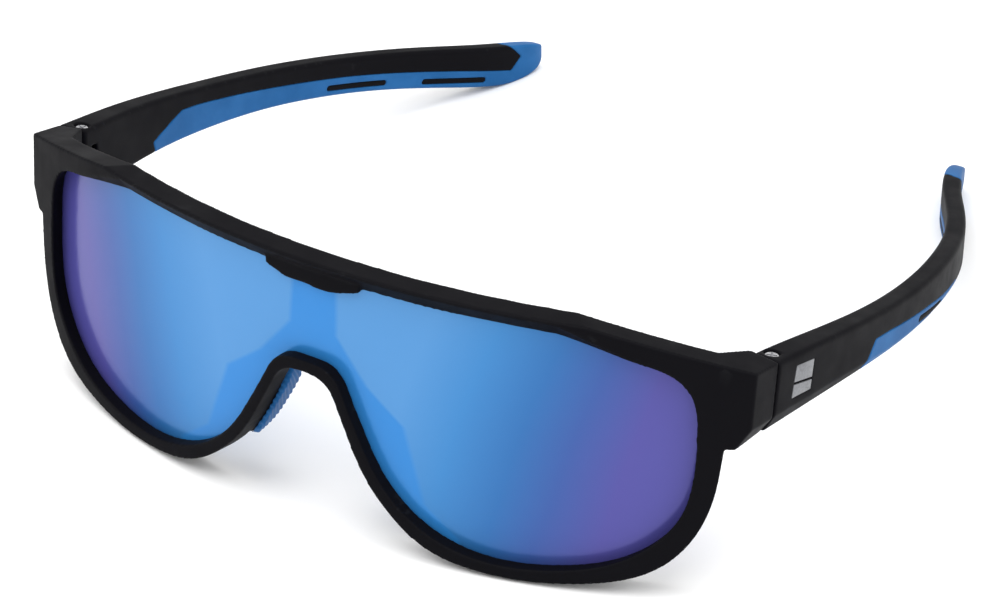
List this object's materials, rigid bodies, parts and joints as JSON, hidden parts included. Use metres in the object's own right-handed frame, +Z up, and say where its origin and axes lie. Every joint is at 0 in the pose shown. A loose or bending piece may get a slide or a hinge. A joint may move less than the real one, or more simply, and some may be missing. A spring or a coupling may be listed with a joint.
{
  "type": "wraparound sport sunglasses",
  "caption": "Wraparound full-rim sunglasses with a wrapped mirror shield lens, blue rubber nose pads, and temples that fold on hinge screws and carry rubber grips on the lower edge and tips.",
  "frame": {"origin": "on the table under the middle of the open glasses, centre of the bounding box's base", "axes": "+X towards the wearer's left, the front of the glasses faces -Y and the open temples run to +Y, +Z up"},
  "size_m": [0.1442, 0.149, 0.0475],
  "materials": {
    "black_nylon": "matte moulded black nylon with soft edges",
    "black_nylon_arm": "matte moulded black nylon with soft edges",
    "mirror_lens": "polished polycarbonate with a blue to violet mirror coating",
    "blue_rubber_grip": "satin blue soft rubber",
    "blue_rubber_pad": "satin blue soft rubber with fine slanting ribs",
    "badge_plate": "satin light grey plate in two plain fields",
    "screw_steel": "bright stainless steel",
    "insert_brass": "plain brass-coloured threaded sleeve"
  },
  "bodies": {
    "front": {"front_frame": "black_nylon", "shield_lens": "mirror_lens", "nose_pad_left": "blue_rubber_pad", "nose_pad_right": "blue_rubber_pad"},
    "left_temple": {"temple_left": "black_nylon_arm", "temple_grip_left": "blue_rubber_grip", "badge_left": "badge_plate", "hinge_screw_left": "screw_steel", "hinge_insert_left": "insert_brass"},
    "right_temple": {"temple_right": "black_nylon_arm", "temple_grip_right": "blue_rubber_grip", "badge_right": "badge_plate", "hinge_screw_right": "screw_steel", "hinge_insert_right": "insert_brass"}
  },
  "joints": [
    {"name": "left_temple_hinge", "type": "hinge", "parent": "front", "child": "left_temple", "pos_m": [0.0676, -0.04336, 0.03166], "axis": [0, 0.1279, 0.9918], "range_deg": [0, 84]},
    {"name": "right_temple_hinge", "type": "hinge", "parent": "front", "child": "right_temple", "pos_m": [-0.0676, -0.04336, 0.03166], "axis": [0, -0.1279, -0.9918], "range_deg": [0, 76]}
  ]
}
